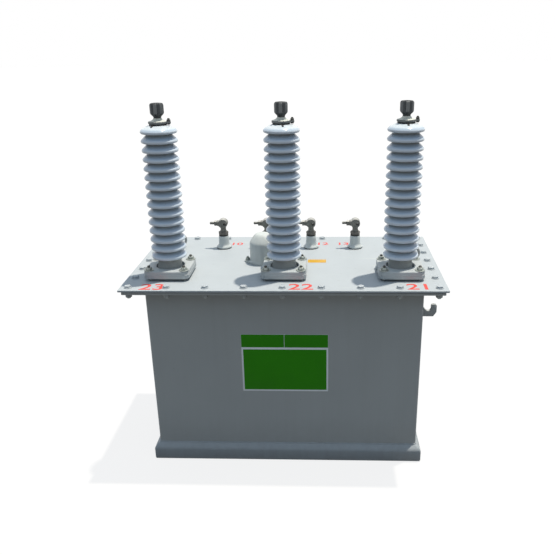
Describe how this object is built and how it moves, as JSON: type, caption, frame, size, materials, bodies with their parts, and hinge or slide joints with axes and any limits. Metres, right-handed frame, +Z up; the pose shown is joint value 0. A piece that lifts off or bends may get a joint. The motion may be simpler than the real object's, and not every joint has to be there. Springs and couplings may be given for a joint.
{
  "type": "liquid-filled distribution transformer",
  "caption": "Liquid-filled distribution transformer: welded tank with lifting hooks, bolted cover with tall ribbed and short bushings, tap-changer hood, cover eyes and a drain valve.",
  "frame": {"origin": "on the ground under the middle of the tank", "axes": "+Z up, +X to the right along the bushing rows, -Y towards the front with the label"},
  "size_m": [1.0192, 0.562, 1.1756],
  "materials": {
    "grey_paint": "satin grey enamel on steel",
    "grey_glaze": "glossy blue-grey porcelain glaze",
    "pale_glaze": "glossy pale grey porcelain glaze",
    "black_rubber": "matt black",
    "tinned_bronze": "dull tinned bronze",
    "dark_bronze": "dark weathered bronze",
    "cast_aluminium": "cast, painted grey",
    "core_steel": "dark silicon steel",
    "bare_steel": "ground bare steel",
    "copper": "bare copper",
    "brass": "bright brass",
    "paper_wrapped_wire": "aluminium wire under brown paper",
    "moulded_resin": "dark brown moulded resin",
    "green_vinyl": "green film"
  },
  "bodies": {
    "tank": {"base_skirt": "grey_paint", "core": "core_steel", "core_frame": "core_steel", "cover_gasket": "black_rubber", "cover_plate": "grey_paint", "drain_valve": "brass", "earth_pad": "bare_steel", "eyebolt_left": "grey_paint", "eyebolt_right": "grey_paint", "front_label": "green_vinyl", "hv_cap_1": "tinned_bronze", "hv_cap_2": "tinned_bronze", "hv_cap_3": "tinned_bronze", "hv_clamp_flange_1": "cast_aluminium", "hv_clamp_flange_2": "cast_aluminium", "hv_clamp_flange_3": "cast_aluminium", "hv_conductor_1": "copper", "hv_conductor_2": "copper", "hv_conductor_3": "copper", "hv_gasket_1": "black_rubber", "hv_gasket_2": "black_rubber", "hv_gasket_3": "black_rubber", "hv_porcelain_1": "grey_glaze", "hv_porcelain_2": "grey_glaze", "hv_porcelain_3": "grey_glaze", "hv_winding_1": "paper_wrapped_wire", "hv_winding_2": "paper_wrapped_wire", "hv_winding_3": "paper_wrapped_wire", "lifting_hook_left": "grey_paint", "lifting_hook_right": "grey_paint", "lv_nut_0": "tinned_bronze", "lv_nut_1": "tinned_bronze", "lv_nut_2": "tinned_bronze", "lv_nut_3": "tinned_bronze", "lv_porcelain_0": "pale_glaze", "lv_porcelain_1": "pale_glaze", "lv_porcelain_2": "pale_glaze", "lv_porcelain_3": "pale_glaze", "lv_terminal_0": "tinned_bronze", "lv_terminal_1": "tinned_bronze", "lv_terminal_2": "tinned_bronze", "lv_terminal_3": "tinned_bronze", "lv_winding_1": "copper", "lv_winding_2": "copper", "lv_winding_3": "copper", "neutral_lead": "copper", "tank_body": "grey_paint", "tank_flange": "grey_paint", "tap_dial": "cast_aluminium", "tap_switch": "moulded_resin"},
    "tap_hood": {"tap_hood": "grey_paint"},
    "tap_knob": {"tap_knob": "moulded_resin"},
    "drain_handle": {"drain_handle": "brass"},
    "hv_terminal_1": {"hv_terminal_1": "dark_bronze"},
    "hv_terminal_2": {"hv_terminal_2": "dark_bronze"},
    "hv_terminal_3": {"hv_terminal_3": "dark_bronze"},
    "lv_clamp_bolt_0": {"lv_clamp_bolt_0": "tinned_bronze"},
    "lv_clamp_bolt_1": {"lv_clamp_bolt_1": "tinned_bronze"},
    "lv_clamp_bolt_2": {"lv_clamp_bolt_2": "tinned_bronze"},
    "lv_clamp_bolt_3": {"lv_clamp_bolt_3": "tinned_bronze"}
  },
  "joints": [
    {"name": "tap_hood_lift", "type": "slide", "parent": "tank", "child": "tap_hood", "axis": [0, 0, 1], "range_m": [0, 0.12]},
    {"name": "tap_knob_turn", "type": "hinge", "parent": "tank", "child": "tap_knob", "pos_m": [-0.079, -0.008, 0.64], "axis": [0, 0, 1], "range_deg": [-60, 60]},
    {"name": "drain_handle_turn", "type": "hinge", "parent": "tank", "child": "drain_handle", "pos_m": [-0.3, 0.2413, 0.1223], "axis": [0, 0, 1], "range_deg": [0, 90]},
    {"name": "hv_terminal_1_unscrew", "type": "hinge", "parent": "tank", "child": "hv_terminal_1", "pos_m": [0.367, -0.135, 1.1326], "axis": [0, 0, 1], "range_deg": [0, 360]},
    {"name": "hv_terminal_2_unscrew", "type": "hinge", "parent": "tank", "child": "hv_terminal_2", "pos_m": [0, -0.135, 1.1326], "axis": [0, 0, 1], "range_deg": [0, 360]},
    {"name": "hv_terminal_3_unscrew", "type": "hinge", "parent": "tank", "child": "hv_terminal_3", "pos_m": [-0.367, -0.135, 1.1326], "axis": [0, 0, 1], "range_deg": [0, 360]},
    {"name": "lv_clamp_bolt_0_unscrew", "type": "hinge", "parent": "tank", "child": "lv_clamp_bolt_0", "pos_m": [-0.237, 0.148, 0.732], "axis": [-1, 0, 0], "range_deg": [0, 360]},
    {"name": "lv_clamp_bolt_1_unscrew", "type": "hinge", "parent": "tank", "child": "lv_clamp_bolt_1", "pos_m": [-0.079, 0.148, 0.732], "axis": [-1, 0, 0], "range_deg": [0, 360]},
    {"name": "lv_clamp_bolt_2_unscrew", "type": "hinge", "parent": "tank", "child": "lv_clamp_bolt_2", "pos_m": [0.079, 0.148, 0.732], "axis": [-1, 0, 0], "range_deg": [0, 360]},
    {"name": "lv_clamp_bolt_3_unscrew", "type": "hinge", "parent": "tank", "child": "lv_clamp_bolt_3", "pos_m": [0.237, 0.148, 0.732], "axis": [-1, 0, 0], "range_deg": [0, 360]}
  ]
}
